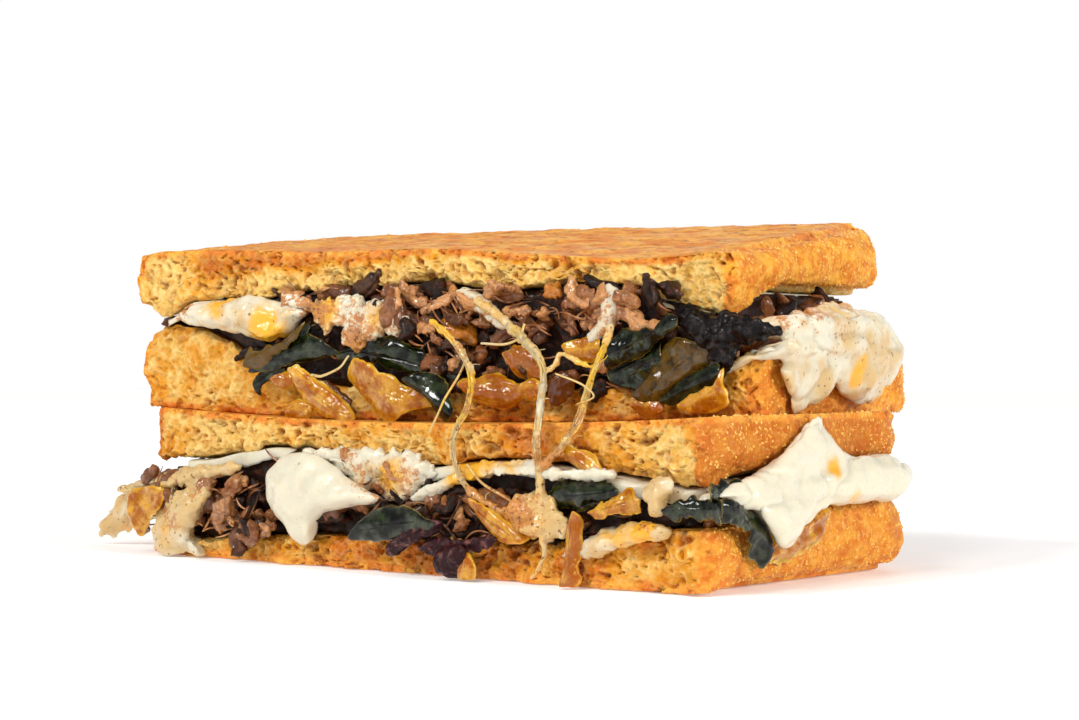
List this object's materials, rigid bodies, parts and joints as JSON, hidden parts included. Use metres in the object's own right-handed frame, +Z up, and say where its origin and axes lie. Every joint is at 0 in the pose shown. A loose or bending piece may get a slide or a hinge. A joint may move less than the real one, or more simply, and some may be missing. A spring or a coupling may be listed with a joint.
{
  "type": "cheesesteak sandwich",
  "caption": "Griddled beef and melted cheese sandwich on toasted bread, cut in two and stacked with cut faces to the front and cheese strings between.",
  "frame": {"origin": "middle of the cut length and near the middle of the depth of the lower half, on its flat underside, at table height", "axes": "+Z up, +X along the cut from left to right, -Y towards the viewer, out of the lower half's cut face"},
  "size_m": [0.1923, 0.1043, 0.0741],
  "materials": {
    "griddled_bread": "toasted crust and pale crumb, slightly glossy with butter",
    "shredded_beef": "moist shredded beef",
    "melted_cheese": "smooth glossy melted cheese with browned spots",
    "roast_pepper": "wet glossy dark green roasted pepper",
    "soft_onion": "translucent amber onion",
    "charred_onion": "blistered purple black",
    "purple_onion": "soft purple onion"
  },
  "bodies": {
    "root": {"lower_half_bottom_bread": "griddled_bread", "lower_half_top_bread": "griddled_bread", "upper_half_bottom_bread": "griddled_bread", "upper_half_top_bread": "griddled_bread", "lower_half_beef": "shredded_beef", "upper_half_beef": "shredded_beef", "lower_half_cheese": "melted_cheese", "upper_half_cheese": "melted_cheese", "lower_half_cheese_drape": "melted_cheese", "upper_half_cheese_lump": "melted_cheese", "lower_half_cheese_flap": "melted_cheese", "lower_half_cheese_left_end": "melted_cheese", "lower_half_cheese_on_bottom_bread": "melted_cheese", "lower_half_cheese_strings": "melted_cheese", "upper_half_pepper_left": "roast_pepper", "upper_half_pepper_left_fold": "roast_pepper", "upper_half_pepper_middle": "roast_pepper", "upper_half_pepper_strip": "roast_pepper", "upper_half_pepper_leaf": "roast_pepper", "upper_half_pepper_wide": "roast_pepper", "upper_half_pepper_corner": "roast_pepper", "upper_half_charred_onion": "charred_onion", "upper_half_onion_strip": "soft_onion", "upper_half_onion_petal": "soft_onion", "upper_half_onion_centre": "soft_onion", "upper_half_onion_right": "soft_onion", "upper_half_onion_corner": "soft_onion", "lower_half_pepper_right": "roast_pepper", "lower_half_pepper_left": "roast_pepper", "lower_half_pepper_middle": "roast_pepper", "lower_half_onion_petal": "soft_onion", "lower_half_onion_purple": "purple_onion", "lower_half_onion_purple_tip": "purple_onion", "lower_half_onion_right_end": "soft_onion", "lower_half_onion_left_end": "soft_onion", "lower_half_onion_under_top_bread": "soft_onion", "lower_half_onion_gap": "soft_onion", "lower_half_onion_ribbon": "soft_onion"}
  },
  "joints": []
}
